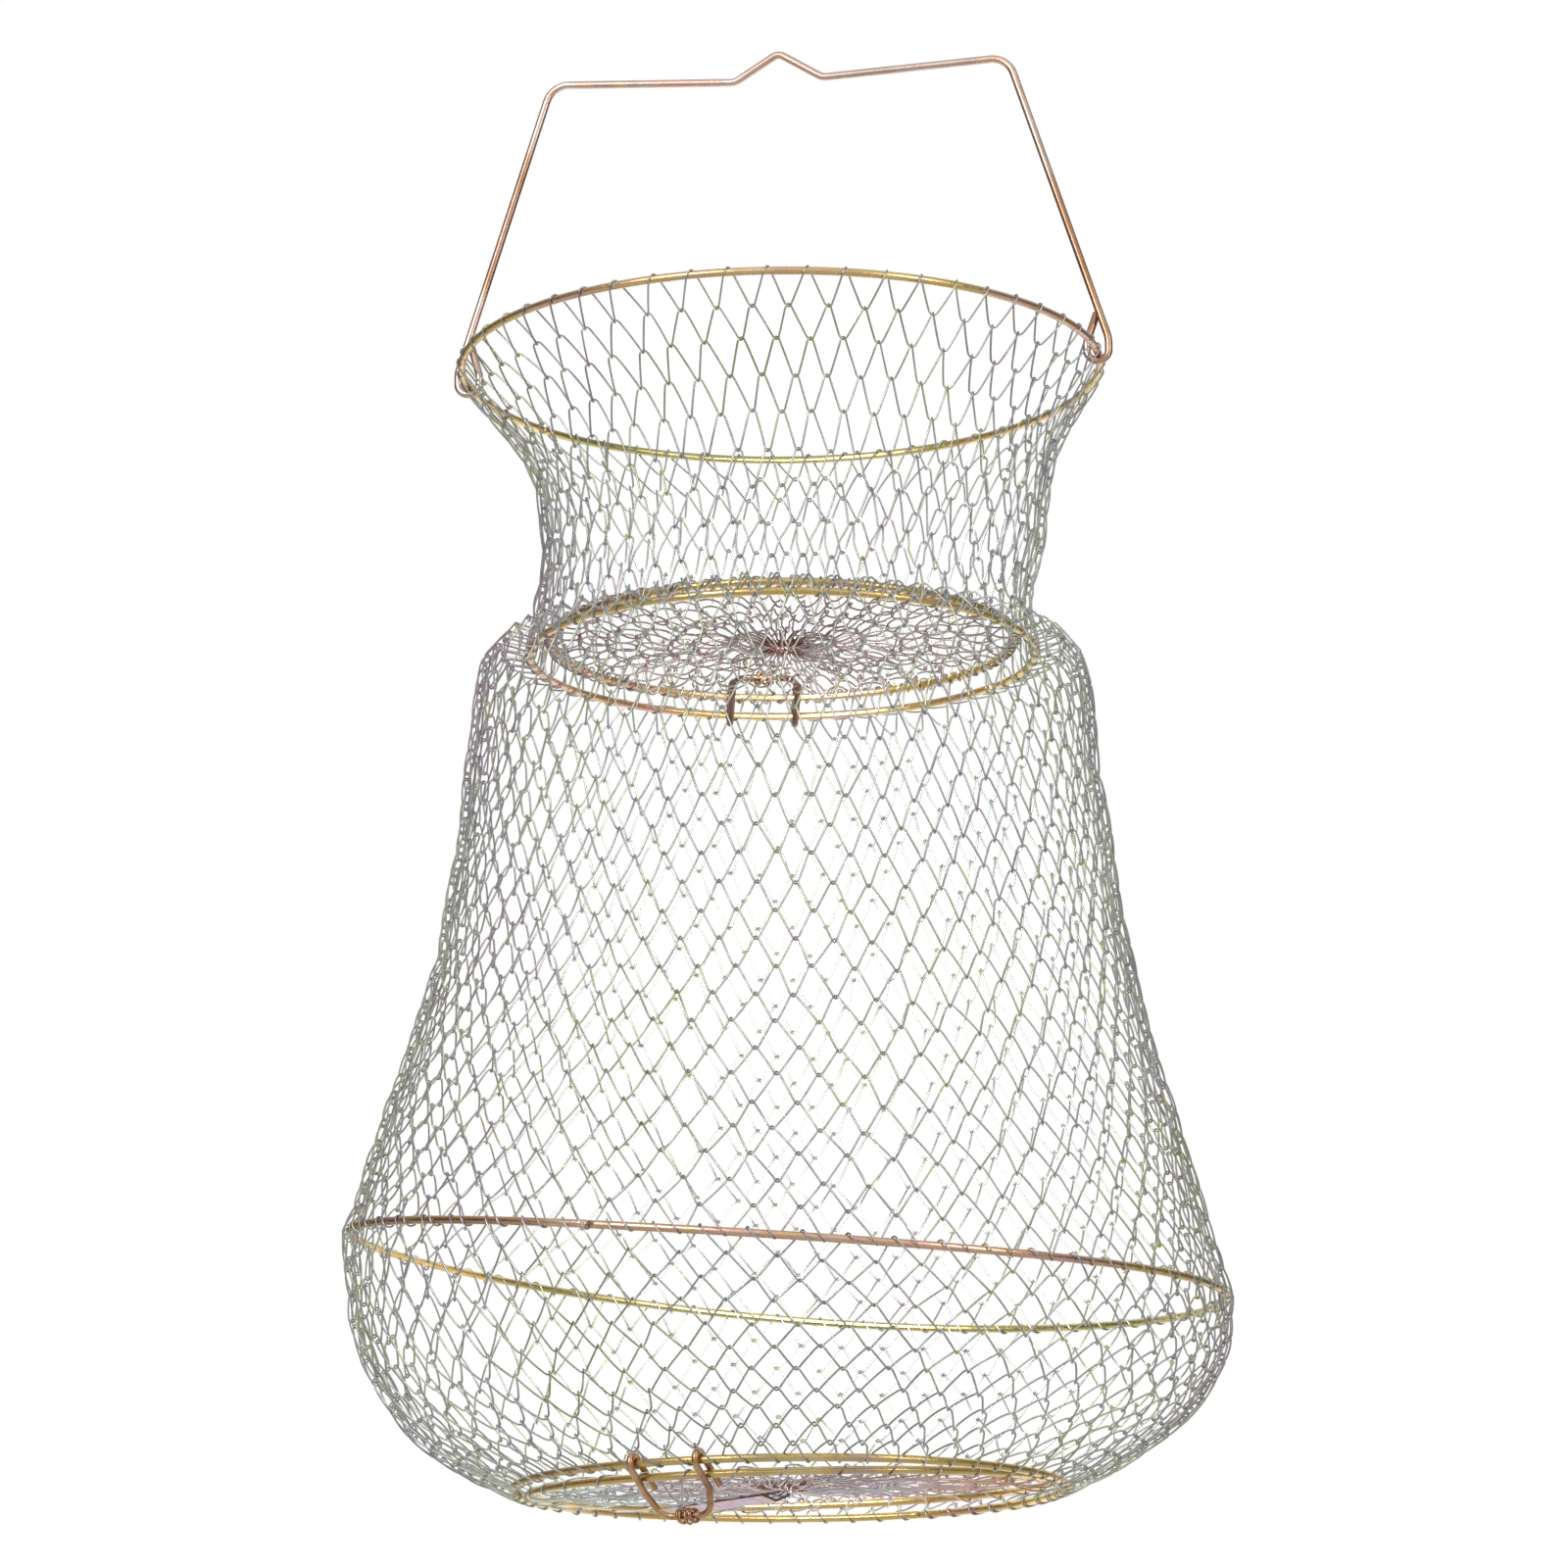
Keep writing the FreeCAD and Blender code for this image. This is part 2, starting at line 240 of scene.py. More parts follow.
def mix_colour(tree, factor, a, b, mode="MIX"):
    """Mix two colours, each a socket or a plain colour."""
    node = tree.nodes.new("ShaderNodeMix")
    node.data_type = "RGBA"
    node.blend_type = mode
    for socket, value in ((node.inputs[0], factor), (node.inputs[6], a), (node.inputs[7], b)):
        if isinstance(value, bpy.types.NodeSocket):
            tree.links.new(value, socket)
        elif isinstance(value, tuple):
            socket.default_value = (*value, 1)
        else:
            socket.default_value = value
    return node.outputs[2]


def ranged(tree, value, low, high, from_low=0.0, from_high=1.0):
    """Map a value to a range."""
    node = tree.nodes.new("ShaderNodeMapRange")
    tree.links.new(value, node.inputs["Value"])
    node.inputs["From Min"].default_value = from_low
    node.inputs["From Max"].default_value = from_high
    node.inputs["To Min"].default_value = low
    node.inputs["To Max"].default_value = high
    return node.outputs["Result"]


def plated_wire(name, wide_stops, tint_stops, wide_scale, tint_scale, tint_share, rough,
                drift=(0.0, 0.0, 0.0)):
    """Zinc plated steel with a yellow chromate film, whose colour drifts along the wire. Some stops
    also hold painted light: the handle's silver stop and the bottom door netting's pale stops.

    drift moves the colour through the wide stops across the piece, per metre along X, Y and Z.
    """
    material = bpy.data.materials.new(name)
    material.use_nodes = True
    tree = material.node_tree
    shader = tree.nodes["Principled BSDF"]
    coord = tree.nodes.new("ShaderNodeTexCoord").outputs["Object"]
    wide = colour_ramp(tree.nodes, wide_stops)
    across = tree.nodes.new("ShaderNodeVectorMath")
    across.operation = "DOT_PRODUCT"
    across.inputs[1].default_value = drift
    tree.links.new(coord, across.inputs[0])
    place = tree.nodes.new("ShaderNodeMath")
    tree.links.new(noise(tree, coord, wide_scale, 3.0), place.inputs[0])
    tree.links.new(across.outputs["Value"], place.inputs[1])
    tree.links.new(place.outputs["Value"], wide.inputs["Fac"])
    tint = colour_ramp(tree.nodes, tint_stops)
    tree.links.new(noise(tree, coord, tint_scale, 3.0), tint.inputs["Fac"])
    share = ranged(tree, noise(tree, coord, tint_scale * 0.6, 2.0), 0.0, tint_share, 0.35, 0.65)
    colour = mix_colour(tree, share, wide.outputs["Color"], tint.outputs["Color"])
    specks = ranged(tree, noise(tree, coord, 2600.0, 2.0), 0.82, 1.08, 0.3, 0.6)
    grey = tree.nodes.new("ShaderNodeCombineColor")
    for channel in ("Red", "Green", "Blue"):
        tree.links.new(specks, grey.inputs[channel])
    colour = mix_colour(tree, 1.0, colour, grey.outputs["Color"], "MULTIPLY")
    tree.links.new(colour, shader.inputs["Base Color"])
    shader.inputs["Metallic"].default_value = 1.0
    roughness = ranged(tree, noise(tree, coord, 420.0, 3.0), rough[0], rough[1], 0.3, 0.7)
    tree.links.new(roughness, shader.inputs["Roughness"])
    bump = tree.nodes.new("ShaderNodeBump")
    bump.inputs["Strength"].default_value = 0.25
    bump.inputs["Distance"].default_value = 0.00012
    tree.links.new(noise(tree, coord, 1500.0, 3.0), bump.inputs["Height"])
    tree.links.new(bump.outputs["Normal"], shader.inputs["Normal"])
    return material


def make_materials():
    """Every finish, by name."""
    gold = (0.66, 0.47, 0.19)
    rose = (0.70, 0.43, 0.34)
    copper = (0.44, 0.24, 0.13)
    brown = (0.28, 0.15, 0.09)
    green = (0.40, 0.37, 0.16)
    pale = (0.80, 0.70, 0.52)
    violet = (0.42, 0.32, 0.35)
    tan = (0.62, 0.50, 0.43)
    # partly bare zinc, partly a painted highlight: the broad sheen on the handle's arms
    silver_and_highlight = (0.70, 0.68, 0.66)
    ring_stops = [(0.30, green), (0.46, gold), (0.58, gold), (0.68, rose), (0.80, copper)]
    ring_tints = [(0.35, pale), (0.50, gold), (0.65, violet)]
    net_stops = [(0.32, (0.34, 0.37, 0.21)), (0.45, (0.45, 0.47, 0.40)),
                 (0.55, (0.37, 0.40, 0.40)), (0.68, (0.40, 0.32, 0.38))]
    net_tints = [(0.35, (0.58, 0.58, 0.24)), (0.50, (0.60, 0.63, 0.62)), (0.65, (0.42, 0.27, 0.36))]
    # Each finish: wide stops, tint stops, the noise scale of each, how much tint shows, the
    # lowest and highest roughness, and for some the drift.
    finishes = {
        "ring": (ring_stops, ring_tints, 7.0, 45.0, 0.45, (0.20, 0.36)),
        "upper_ring": (ring_stops, ring_tints, 7.0, 45.0, 0.45, (0.20, 0.36), (0.55, -1.6, 0.0)),
        "belly_ring": (ring_stops, ring_tints, 7.0, 45.0, 0.45, (0.20, 0.36), (-0.15, -1.05, 0.0)),
        # The handle's silver stop is partly bare zinc and partly a painted highlight on its arms;
        # the drift along Z shifts its colours with height, browner towards the bottom.
        "handle": (
            [(0.30, brown), (0.40, copper), (0.48, tan), (0.54, rose), (0.60, silver_and_highlight), (0.72, tan)],
            [(0.35, tan), (0.50, violet), (0.65, gold)], 14.0, 60.0, 0.4, (0.24, 0.40),
            (0.0, 0.0, 1.3)),
        "top_hinge": (
            [(0.35, (0.12, 0.07, 0.05)), (0.55, (0.20, 0.11, 0.08)), (0.70, (0.26, 0.17, 0.14))],
            [(0.40, (0.10, 0.07, 0.06)), (0.60, (0.30, 0.17, 0.10))],
            30.0, 120.0, 0.5, (0.22, 0.40)),
        "bottom_hinge": (
            [(0.35, (0.40, 0.21, 0.12)), (0.55, (0.58, 0.34, 0.20)), (0.70, tan)],
            [(0.40, (0.28, 0.16, 0.11)), (0.60, gold)], 40.0, 140.0, 0.6, (0.20, 0.36)),
        "net": (net_stops, net_tints, 14.0, 130.0, 0.7, (0.24, 0.42)),
        "top_door_net": (
            [(0.32, (0.42, 0.40, 0.34)), (0.48, (0.37, 0.29, 0.27)), (0.60, (0.38, 0.27, 0.28)),
             (0.72, (0.42, 0.41, 0.45))],
            [(0.35, (0.46, 0.45, 0.33)), (0.50, (0.48, 0.49, 0.50)), (0.65, (0.36, 0.18, 0.17))],
            22.0, 150.0, 0.7, (0.24, 0.42)),
        # The bottom door's netting is paler than the wall's: its pale silver and lilac stops are
        # partly painted light on its lit underside and partly the wire's own chromate colour; the
        # drift along X turns it orange towards +X.
        "bottom_door_net": (
            [(0.32, (0.54, 0.58, 0.54)), (0.46, (0.50, 0.48, 0.52)), (0.58, (0.54, 0.36, 0.33)),
             (0.70, (0.56, 0.33, 0.22))],
            [(0.35, (0.58, 0.58, 0.42)), (0.50, (0.60, 0.62, 0.66)), (0.65, (0.36, 0.20, 0.22))],
            14.0, 150.0, 0.6, (0.24, 0.42), (3.0, 0.0, 0.0)),
        "gather": (
            [(0.35, (0.30, 0.13, 0.10)), (0.50, (0.40, 0.18, 0.14)), (0.65, (0.34, 0.22, 0.26))],
            [(0.40, (0.24, 0.12, 0.10)), (0.60, (0.44, 0.24, 0.14))],
            40.0, 200.0, 0.6, (0.26, 0.44)),
        "plate": (
            [(0.35, (0.36, 0.19, 0.12)), (0.50, (0.30, 0.18, 0.24)), (0.62, (0.26, 0.21, 0.33))],
            [(0.40, (0.34, 0.20, 0.16)), (0.60, (0.26, 0.26, 0.38))],
            26.0, 90.0, 0.6, (0.22, 0.38)),
    }
    return {name: plated_wire(f"chromate_{name}", *values) for name, values in finishes.items()}


# ------------------------------------------------------------------ wire meshes

def unit(vectors):
    """Vectors scaled to length one, row by row."""
    return vectors / np.maximum(np.linalg.norm(vectors, axis=-1, keepdims=True), 1e-12)


def carried_normals(tangents, closed):
    """A normal at each point of a path, carried along it with no twist."""
    normals = np.zeros_like(tangents)
    first = np.cross(tangents[0], (0.0, 0.0, 1.0))
    if np.linalg.norm(first) < 1e-3:
        first = np.cross(tangents[0], (1.0, 0.0, 0.0))
    normals[0] = first / np.linalg.norm(first)
    for i in range(1, len(tangents)):
        n = normals[i - 1] - tangents[i] * np.dot(normals[i - 1], tangents[i])
        normals[i] = n / np.linalg.norm(n)
    if closed:
        last = normals[-1] - tangents[0] * np.dot(normals[-1], tangents[0])
        side = np.cross(tangents[0], normals[0])
        turn = math.atan2(np.dot(last, side), np.dot(last, normals[0]))
        angles = -turn * np.arange(len(tangents)) / len(tangents)
        sides = np.cross(tangents, normals)
        normals = normals * np.cos(angles)[:, None] + sides * np.sin(angles)[:, None]
    return normals


def tube(points, radius, sides, closed):
    """Vertices and faces of a round wire along a path."""
    points = np.asarray(points, float)
    if closed:
        tangents = unit(np.roll(points, -1, 0) - np.roll(points, 1, 0))
    else:
        tangents = unit(np.gradient(points, axis=0))
    normals = carried_normals(tangents, closed)
    sideways = np.cross(tangents, normals)
    around = np.arange(sides) * 2 * math.pi / sides
    rim = (normals[:, None] * np.cos(around)[None, :, None]
           + sideways[:, None] * np.sin(around)[None, :, None])
    vertices = (points[:, None] + rim * radius).reshape(-1, 3)
    count = len(points)
    rows = np.arange(count if closed else count - 1)
    here = rows[:, None] * sides + np.arange(sides)[None]
    beside = rows[:, None] * sides + (np.arange(sides)[None] + 1) % sides
    there = ((rows + 1) % count)[:, None] * sides + np.arange(sides)[None]
    across = ((rows + 1) % count)[:, None] * sides + (np.arange(sides)[None] + 1) % sides
    faces = np.stack([here, beside, across, there], -1).reshape(-1, 4).tolist()
    if not closed:
        faces.append(list(range(sides))[::-1])
        faces.append([(count - 1) * sides + k for k in range(sides)])
    return vertices, faces


def wire_object(name, paths, radius, material, sides=6, closed=True):
    """One object made of one or more wires."""
    vertices, faces, base = [], [], 0
    for path in paths:
        more, rings = tube(path, radius, sides, closed)
        vertices.append(more)
        faces += [[base + k for k in face] for face in rings]
        base += len(more)
    mesh = bpy.data.meshes.new(name)
    mesh.from_pydata(np.concatenate(vertices).tolist(), [], faces)
    mesh.shade_smooth()
    mesh.materials.append(material)
    obj = bpy.data.objects.new(name, mesh)
    bpy.context.collection.objects.link(obj)
    return obj


def wobble(rng, angles, size, waves):
    """A smooth random drift round a ring."""
    total = np.zeros_like(angles)
    for wave in range(1, waves + 1):
        phase = rng.uniform(0, 2 * math.pi)
        total += rng.normal(0, size / math.sqrt(wave)) * np.cos(wave * angles + phase)
    return total


# ------------------------------------------------------------------ rings

def ring_size(node):
    """Centre and radius of a ring, from its CAD box."""
    low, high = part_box(node)
    radius = max(high.x - low.x, high.y - low.y) / 2 - RING_WIRE
    return (low + high) / 2, radius


def ring_path(rng, centre, radius, normal, joint_deg, bend):
    """A ring's wire from end to end, a little out of round, its ends meeting with a small step.

    bend lifts its sides along X and lowers its sides along Y.
    """
    gap = 0.35 * MM / radius
    start = math.radians(joint_deg)
    angles = np.linspace(start + gap, start + 2 * math.pi - gap, 361)
    out = radius + wobble(rng, angles, 0.12 * MM, 4)
    up = wobble(rng, angles, 0.10 * MM, 4) + bend * np.cos(2 * angles)
    step = np.linspace(-0.5, 0.5, len(angles)) ** 9 * 2 ** 9 * 0.35 * MM
    flat = np.stack([(out + step) * np.cos(angles), (out + step) * np.sin(angles), up], -1)
    turn = np.array(Vector((0, 0, 1)).rotation_difference(Vector(normal)).to_matrix())
    return flat @ turn.T + np.array(centre)


def make_ring(rng, name, node, body, material, joint_deg, normal=(0, 0, 1), bend=0.0):
    """A wire ring in place of its CAD torus."""
    centre, radius = ring_size(node)
    path = ring_path(rng, centre, radius, normal, joint_deg, bend)
    obj = wire_object(name, [path], RING_WIRE, material, sides=20, closed=False)
    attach(obj, body)
    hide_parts(node)


# ------------------------------------------------------------------ netting

def smooth_curve(points, rounds=4):
    """A curve that rounds the corners of a coarse outline and keeps its two ends."""
    curve = np.array(points, float)
    for _ in range(rounds):
        first = 0.75 * curve[:-1] + 0.25 * curve[1:]
        second = 0.25 * curve[:-1] + 0.75 * curve[1:]
        inner = np.stack([first, second], 1).reshape(-1, 2)
        curve = np.concatenate([curve[:1], inner[1:-1], curve[-1:]])
    return curve


def knot_lines(outline, columns, reach, rows):
    """Where the knots of each row lie on the outline: radius, height and downward direction.

    A diamond's legs keep their length, so rows are lower where the columns stand further apart.
    """
    curve = smooth_curve(outline)
    steps = np.linalg.norm(np.diff(curve, axis=0), axis=1)
    along = np.concatenate([[0], np.cumsum(steps)])
    fine = np.linspace(0, along[-1], 2000)
    radius = np.interp(fine, along, curve[:, 0])
    height = np.interp(fine, along, curve[:, 1])
    row = np.sqrt(np.maximum(reach ** 2 - (math.pi * radius / columns) ** 2, (0.3 * reach) ** 2))
    counted = np.concatenate([[0], np.cumsum(np.diff(fine) / row[1:])])
    at = np.interp(np.linspace(0, counted[-1], rows + 1), counted, fine)
    before, after = np.clip(at - 4 * MM, 0, fine[-1]), np.clip(at + 4 * MM, 0, fine[-1])
    way = np.stack([
        np.interp(after, fine, radius) - np.interp(before, fine, radius),
        np.interp(after, fine, height) - np.interp(before, fine, height)], -1)
    return np.interp(at, fine, radius), np.interp(at, fine, height), unit(way)


def line_knots(rng, line, columns, radius, height, way, on_ring, slack):
    """The knots of one line: position, downward, outward and sideways directions."""
    spacing = 2 * math.pi / columns
    angles = (np.arange(columns) + 0.5 * (line % 2) - 0.25) * spacing
    angles = angles + rng.normal(0, 0.035 * spacing, columns)
    slip = np.zeros(columns)
    out = np.zeros(columns)
    if not on_ring:
        slip = slack * (rng.normal(0, 0.28 * MM, columns) + wobble(rng, angles, 0.25 * MM, 5))
        out = slack * (rng.normal(0, 0.22 * MM, columns) + wobble(rng, angles, 0.35 * MM, 5))
    radial = np.stack([np.cos(angles), np.sin(angles), 0 * angles], -1)
    upright = np.array([0.0, 0.0, 1.0])
    down = radial * way[0] + upright * way[1]
    outward = radial * -way[1] + upright * way[0]
    sideways = np.stack([-np.sin(angles), np.cos(angles), 0 * angles], -1)
    place = radial * radius + upright * height + down * slip[:, None] + outward * out[:, None]
    return place, down, outward, sideways


def bends(knots, size, ending, hand):
    """The small turn of the wire at each knot: over the line at a top end, under it at a bottom."""
    place, down, outward, sideways = knots
    turn = np.linspace(0, math.pi, 7)
    side = hand * ending
    across = side * size["reach"] * np.cos(turn)
    beyond = size["lift"] - size["reach"] + size["reach"] * np.sin(turn)
    drift = size["drift"] * np.linspace(-1, 1, 7)
    return (place[:, None] + outward[:, None] * across[None, :, None]
            + down[:, None] * (-ending * beyond)[None, :, None]
            + sideways[:, None] * drift[None, :, None])


def leg(start, end, outward, bow):
    """The wire between two bends, bowed out of the netting's face."""
    along = np.array([0.12, 0.3, 0.5, 0.7, 0.88])[None, :, None]
    straight = start[:, None] * (1 - along) + end[:, None] * along
    return straight + outward[:, None] * (bow[:, None, None] * np.sin(math.pi * along) ** 0.7)


def row_path(rng, top, bottom, line, sizes, hand, bulge):
    """One row of netting: a flattened spiral that runs all the way round."""
    over = bends(top, sizes[0], 1, hand)
    under = bends(bottom, sizes[1], -1, hand)
    if line % 2:
        under = np.roll(under, -1, 0)
    outward = top[2]
    bow = hand * bulge * rng.normal(1.0, 0.18, (2, len(outward)))
    down_leg = leg(over[:, -1], under[:, 0], outward, -bow[0])
    up_leg = leg(under[:, -1], np.roll(over, -1, 0)[:, 0], outward, bow[1])
    return np.concatenate([over, down_leg, under, up_leg], 1).reshape(-1, 3)


def net(rng, outline, columns, reach, rows, hand, ring_lines, bulge, finish, slack=1.0):
    """Every row's path, and the knot lines' heights. finish moves the points to their place."""
    radius, height, way = knot_lines(outline, columns, reach, rows)
    knots = [
        line_knots(rng, i, columns, radius[i], height[i], way[i], i in ring_lines, slack)
        for i in range(rows + 1)
    ]
    size = [ring_lines.get(i, KNOT) for i in range(rows + 1)]
    paths = [
        finish(row_path(rng, knots[i], knots[i + 1], i, (size[i], size[i + 1]), hand, bulge))
        for i in range(rows)
    ]
    return paths, height


def slope_share(height, stops):
    """How much of the belly ring's slope the netting takes at a height."""
    heights, shares = zip(*sorted(stops))
    return np.interp(height, heights, shares)


def smoothstep_inverse(weight):
    """The position at which a smoothstep reaches a weight."""
    return 0.5 - math.sin(math.asin(1 - 2 * min(max(weight, 0.0), 1.0)) / 3)


def blend_row(obj, weights, share):
    """Bake a row's place into its mesh. The places of its knot lines and the tilt from the belly's
    slope are worked out from weights and share, but not used.
    """
    places = [smoothstep_inverse(w) for w in weights]
    normal = Vector((-share * BELLY_SLOPE[0], -share * BELLY_SLOPE[1], 1))
    normal /= normal.length_squared
    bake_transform(obj)


def carry_rows(name, paths, heights, spans, material, stops=((0, 0),)):
    """Make each row an object that rides one body; a row whose span joins two bodies is only baked
    in place and rides neither.

    spans lists (first line, last line, body, next body).
    """
    rows = []
    for first, last, a, b in spans:
        for i in range(first, last):
            obj = wire_object(f"{name}_row_{i + 1:02d}", [paths[i]], NET_WIRE, material)
            if a == b:
                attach(obj, a)
            else:
                ends = (heights[i], heights[i + 1])
                whole = heights[last] - heights[first]
                weights = [(h - heights[first]) / whole for h in ends]
                blend_row(obj, weights, slope_share(sum(ends) / 2, stops))
            rows.append(obj)
    return rows


# ------------------------------------------------------------------ the three walls

def funnel_outline(mouth, neck):
    """Radius and height of the funnel's wall, from the mouth ring to the neck ring."""
    (mouth_at, mouth_r), (neck_at, neck_r) = mouth, neck
    top, bottom = mouth_at.z, neck_at.z
    return [
        (mouth_r, top), (mouth_r - 13.5 * MM, top - 20 * MM), (mouth_r - 22 * MM, top - 34 * MM),
        (mouth_r - 26 * MM, top - 49 * MM), (mouth_r - 28.5 * MM, top - 68 * MM),
        (neck_r - 3.4 * MM, bottom + 27 * MM), (neck_r, bottom),
    ]


def bell_outline(neck, belly):
    """From the neck ring out over the shoulder and down to the belly ring."""
    (neck_at, neck_r), (belly_at, belly_r) = neck, belly
    top, bottom = neck_at.z, belly_at.z
    return [
        (neck_r, top), (neck_r + 9 * MM, top + 2.8 * MM), (neck_r + 15.5 * MM, top + 1.5 * MM),
        (neck_r + 18 * MM, top - 6 * MM), (neck_r + 19.8 * MM, top - 14 * MM),
        (neck_r + 25.5 * MM, top - 70 * MM), (neck_r + 32 * MM, top - 112 * MM),
        (neck_r + 39.7 * MM, top - 146 * MM), (neck_r + 49 * MM, top - 176 * MM),
        (neck_r + 57 * MM, top - 203 * MM), (belly_r - 3.5 * MM, bottom + 13 * MM),
        (belly_r, bottom),
    ]


def bowl_outline(belly, bottom_ring):
    """From the belly ring down and in to the bottom ring."""
    (belly_at, belly_r), (bottom_at, bottom_r) = belly, bottom_ring
    top, bottom = belly_at.z, bottom_at.z
    return [
        (belly_r, top), (belly_r, top - 12 * MM), (belly_r - 2.5 * MM, top - 29 * MM),
        (belly_r - 9.5 * MM, top - 45 * MM), (belly_r - 21.5 * MM, top - 59 * MM),
        (belly_r - 37.5 * MM, bottom + 11 * MM), (belly_r - 53 * MM, bottom + 3 * MM),
        (bottom_r, bottom),
    ]


def funnel_finish(mouth, neck):
    """A function that leans the funnel's netting and parts it round the handle's two eyes."""
    top, bottom, radius = mouth[0].z, neck[0].z + 20 * MM, mouth[1]

    def finish(points):
        x, y, z = points.T
        up = np.clip((z - bottom) / (top - bottom), 0, 1)
        lean = FUNNEL_LEAN * np.sin(math.pi * up ** 0.7)
        below = np.clip(1 - (top - z) / (12 * MM), 0, 1)
        inside = np.clip(1 - (radius - np.abs(x)) / (12 * MM), 0, 1)
        apart = EYE_ROOM * np.tanh(y / (2 * MM)) * np.exp(-(y / (9 * MM)) ** 2)
        return points + np.stack([lean, apart * below * inside, 0 * z], -1)
    return finish


def make_funnel(rng, material):
    """The funnel's netting, knotted round the mouth ring and threaded on the neck ring."""
    mouth, neck = ring_size("mouth_ring"), ring_size("neck_ring")
    paths, heights = net(
        rng, funnel_outline(mouth, neck), FUNNEL_COLUMNS, FUNNEL_LEG, FUNNEL_ROWS, 1,
        {0: WRAP, FUNNEL_ROWS: WRAP}, WALL_BULGE, funnel_finish(mouth, neck))
    spans = [
        (0, 3, "mouth", "funnel_band_2"), (3, 6, "funnel_band_2", "funnel_band_3"),
        (6, 8, "funnel_band_3", "neck"), (8, 9, "neck", "neck"),
    ]
    rows = carry_rows("funnel_net", paths, heights, spans, material)
    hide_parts("funnel_net_1")
    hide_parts("funnel_net_2")
    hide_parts("funnel_net_3")
    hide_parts("funnel_net_4")


def sloped(stops, radius):
    """A function that gives points their share of the belly ring's slope and bend."""
    def finish(points):
        x, y, z = points.T
        bend = BELLY_BEND * (x ** 2 - y ** 2) / radius ** 2
        lift = slope_share(z, stops) * (x * BELLY_SLOPE[0] + y * BELLY_SLOPE[1] + bend)
        return points + np.stack([0 * lift, 0 * lift, lift], -1)
    return finish


def make_body(rng, material):
    """The netting of the shoulder, bell and bowl, threaded on the belly ring."""
    neck, belly, bottom = (ring_size(n) for n in ("neck_ring", "belly_ring", "bottom_ring"))
    stops = (
        (neck[0].z - 40 * MM, 0.0), (belly[0].z, 1.0), (bottom[0].z + 14 * MM, 0.0),
    )
    paths, heights = net(
        rng, bell_outline(neck, belly), BODY_COLUMNS, BODY_LEG, BELL_ROWS, -1,
        {0: KNOT, BELL_ROWS: WRAP}, WALL_BULGE, sloped(stops, belly[1]))
    spans = [
        (0, 2, "neck", "neck"), (2, 6, "neck", "bell_band_2"),
        (6, 10, "bell_band_2", "bell_band_3"), (10, 15, "bell_band_3", "bell_band_4"),
        (15, 20, "bell_band_4", "bell_band_5"), (20, 25, "bell_band_5", "belly"),
    ]
    rows = carry_rows("bell_net", paths, heights, spans, material, stops)
    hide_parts("shoulder_net")
    for row, node in zip((2, 6, 10, 15, 20, 24), range(1, 7)):
        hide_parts(f"bell_net_{node}")
    paths, heights = net(
        rng, bowl_outline(belly, bottom), BODY_COLUMNS, BODY_LEG, BOWL_ROWS, -1,
        {0: WRAP, BOWL_ROWS: WRAP}, WALL_BULGE, sloped(stops, belly[1]))
    spans = [(0, 5, "belly", "bowl_band_2"), (5, 11, "bowl_band_2", "base")]
    rows = carry_rows("bowl_net", paths, heights, spans, material, stops)
    for row, node in zip((0, 5, 10), range(1, 4)):
        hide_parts(f"bowl_net_{node}")


# ------------------------------------------------------------------ doors

def door_pose(door):
    """A door's frame: x from its hinge to its far side, z out of its outer face."""
    low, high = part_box(f"{door}_ring")
    centre = (low + high) / 2
    joint = next(j for j in frame["record"]["behaviour"]["joints"] if j["name"] == f"{door}_hinge")
    outward = 1 if door == "top_door" else -1
    hinge = Vector(joint["pos_m"])
    inward = Vector((centre.x - hinge.x, centre.y - hinge.y, 0)).normalized()
    lean = math.radians(0.0 if door == "top_door" else BOTTOM_DOOR_LEAN)
    out = Vector((0, 0, outward))
    x = inward * math.cos(lean) - out * math.sin(lean)
    z = inward * math.sin(lean) + out * math.cos(lean)
    y = z.cross(x)
    return Matrix((
        (x.x, y.x, z.x, centre.x), (x.y, y.y, z.y, centre.y),
        (x.z, y.z, z.z, centre.z), (0, 0, 0, 1)))


def tie_place(door, pose):
    """The middle of the hinge wire's closed end, in the door's frame, from the tie's CAD box."""
    low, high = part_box(f"{door}_tie")
    middle = pose.inverted() @ ((low + high) / 2)
    middle.z = 2 * middle.z - 3.2 * MM
    return middle


def door_finish(pose, tie, sag, radius):
    """Dish the door's netting, draw it up to the hinge wire, and set it in its place."""
    matrix = np.array(pose)

    def finish(points):
        x, y, z = points.T
        out = np.hypot(x, y)
        away = (x - tie.x) ** 2 + (y - tie.y) ** 2
        free = np.clip((radius - out) / (10 * MM), 0, 1)
        lift = (tie.z - 1.8 * MM) * np.exp(-away / (2 * (7 * MM) ** 2)) * free
        centre = np.clip(1 - out / radius, 0, 1)
        local = np.stack([x, y, z + lift - sag * centre ** 1.5], -1)
        return local @ matrix[:3, :3].T + matrix[:3, 3]
    return finish


def coil(rng, centre, half_width, half_height, turns, pitch):
    """A few loose, uneven turns of wire along Y, wound over each other here and there."""
    turn = np.linspace(0, turns, turns * 20)
    ends = np.arange(turns + 1)
    loose = np.interp(turn, ends, 1 + 0.22 * np.abs(rng.normal(0, 1, turns + 1)))
    along = np.interp(turn, ends, pitch * (ends - turns / 2 + rng.uniform(-0.9, 0.9, turns + 1)))
    angle = 2 * math.pi * turn
    return np.stack([
        centre[0] + half_width * loose * np.cos(angle),
        centre[1] + along + 0.8 * pitch * np.sin(angle + 1),
        centre[2] + half_height * loose * np.sin(angle)], -1)


def to_place(points, pose):
    """Points from a door's frame to the row frame."""
    matrix = np.array(pose)
    return points @ matrix[:3, :3].T + matrix[:3, 3]


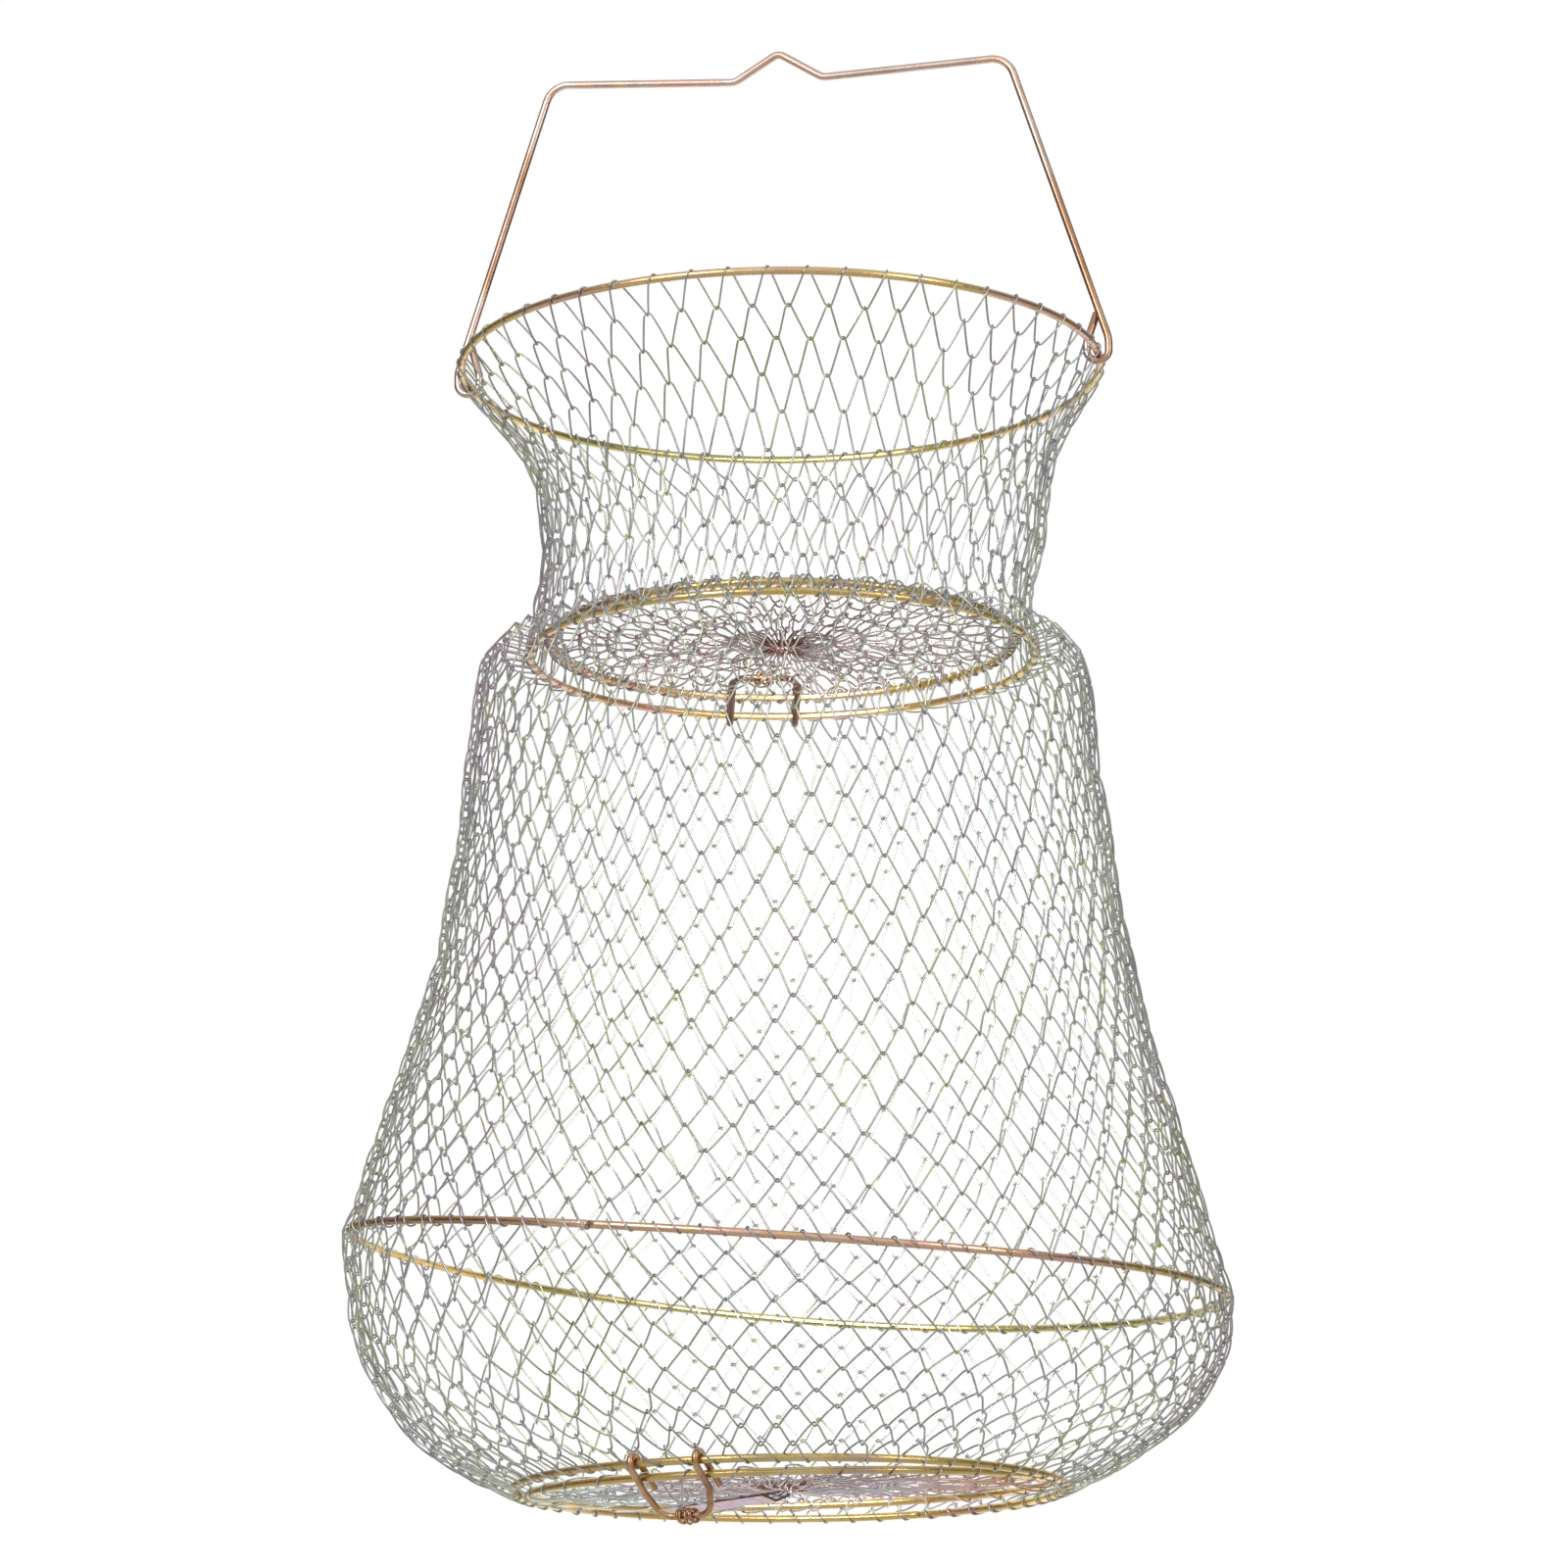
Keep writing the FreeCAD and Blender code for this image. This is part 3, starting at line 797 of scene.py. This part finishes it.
def gathered_strands(rng, count):
    """The ends of the netting, bent over each other round the open centre of a door."""
    strands = []
    for i in range(count):
        angle = (i + rng.uniform(-0.4, 0.4)) * 2 * math.pi / count
        along = np.linspace(0, 1, 9)
        out = rng.uniform(3.2, 4.6) * MM + along * rng.uniform(4.5, 8.5) * MM
        turn = angle + rng.normal(0, 0.10) * along + 0.25 * (1 - along) ** 2 * rng.choice((-1, 1))
        lift = rng.uniform(-1.6, 1.6) * MM * np.sin(math.pi * along) + rng.normal(0, 0.5) * MM
        strands.append(np.stack([out * np.cos(turn), out * np.sin(turn), lift], -1))
    return strands


def lacing(rng, radius, turns, loose):
    """A thin wire wound loosely round a door's ring, in the door's frame."""
    along = np.linspace(0, 2 * math.pi, turns * 14 + 1)[:-1]
    turn = turns * along
    size = RING_WIRE + NET_WIRE + loose * (0.5 + 0.5 * np.clip(wobble(rng, along, 0.7, 40), -1, 1))
    across = radius + size * np.cos(turn)
    return np.stack([across * np.cos(along), across * np.sin(along), size * np.sin(turn)], -1)


def make_door(rng, door, materials, columns, rows, sag, bulge, slack):
    """A door's netting, its drawn-together centre, and the tie that holds the hinge wire."""
    pose = door_pose(door)
    tie = tie_place(door, pose)
    radius = ring_size(f"{door}_ring")[1]
    outline = [(radius, 0), (radius * 0.66, 0), (radius * 0.33, 0), (8.0 * MM, 0)]
    finish = door_finish(pose, tie, sag, radius)
    centre_bend = dict(reach=1.3 * MM, lift=1.3 * MM, drift=0.3 * MM)
    paths, _ = net(rng, outline, columns, DOOR_LEG, rows, 1,
                   {0: WRAP, rows: centre_bend}, bulge, finish, slack)
    netting = wire_object(f"{door}_netting", paths, NET_WIRE, materials[f"{door}_net"])
    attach(netting, door)
    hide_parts(f"{door}_net")
    strands = [finish(strand) for strand in gathered_strands(rng, 2 * columns)]
    gather = wire_object(
        f"{door}_gathered_centre", strands, NET_WIRE, materials["gather"], closed=False)
    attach(gather, door)
    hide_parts(f"{door}_gather")
    path = to_place(coil(rng, tie, 2.0 * MM, 2.2 * MM, 6, 1.2 * MM), pose)
    binding = wire_object(
        f"{door}_binding", [path], TIE_WIRE, materials["bottom_hinge"], sides=8, closed=False)
    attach(binding, door)
    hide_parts(f"{door}_tie")


def make_lacing(rng, door, material, turns):
    """The wire that laces the top door's netting to its ring."""
    radius = ring_size(f"{door}_ring")[1]
    path = to_place(lacing(rng, radius, turns, 0.6 * MM), door_pose(door))
    obj = wire_object(f"{door}_lacing", [path], LACING_WIRE, material)
    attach(obj, door)


# ------------------------------------------------------------------ whole trap

def finish_cad(materials):
    """Give the CAD pieces that stay in view their materials."""
    for node, finish in (
            ("handle", "handle"), ("top_door_hinge_wire", "top_hinge"),
            ("bottom_door_hinge_wire", "bottom_hinge"), ("bottom_door_plate", "plate")):
        obj = bpy.data.objects[node]
        obj.data.materials.clear()
        obj.data.materials.append(materials[finish])
        obj.data.shade_smooth()


def build():
    make_camera()
    make_world()
    make_backdrop()
    make_stage()
    materials = make_materials()
    rng = np.random.default_rng(7)
    belly_normal = Vector((-BELLY_SLOPE[0], -BELLY_SLOPE[1], 1)).normalized()
    make_ring(rng, "mouth_ring_wire", "mouth_ring", "mouth", materials["upper_ring"], 150)
    make_ring(rng, "neck_ring_wire", "neck_ring", "neck", materials["ring"], 40)
    make_ring(
        rng, "belly_ring_wire", "belly_ring", "belly", materials["belly_ring"], -106,
        belly_normal, BELLY_BEND)
    make_ring(rng, "bottom_ring_wire", "bottom_ring", "base", materials["ring"], 70)
    for door in DOORS:
        normal = door_pose(door).to_3x3() @ Vector((0, 0, 1))
        make_ring(rng, f"{door}_ring_wire", f"{door}_ring", door, materials["ring"], 160, normal)
    make_funnel(rng, materials["net"])
    make_body(rng, materials["net"])
    for door, netting in DOORS.items():
        make_door(rng, door, materials, **netting)
    make_lacing(rng, "top_door", materials["net"], LACING_TURNS)
    finish_cad(materials)
    bpy.context.scene.view_settings.view_transform = "Standard"


build()
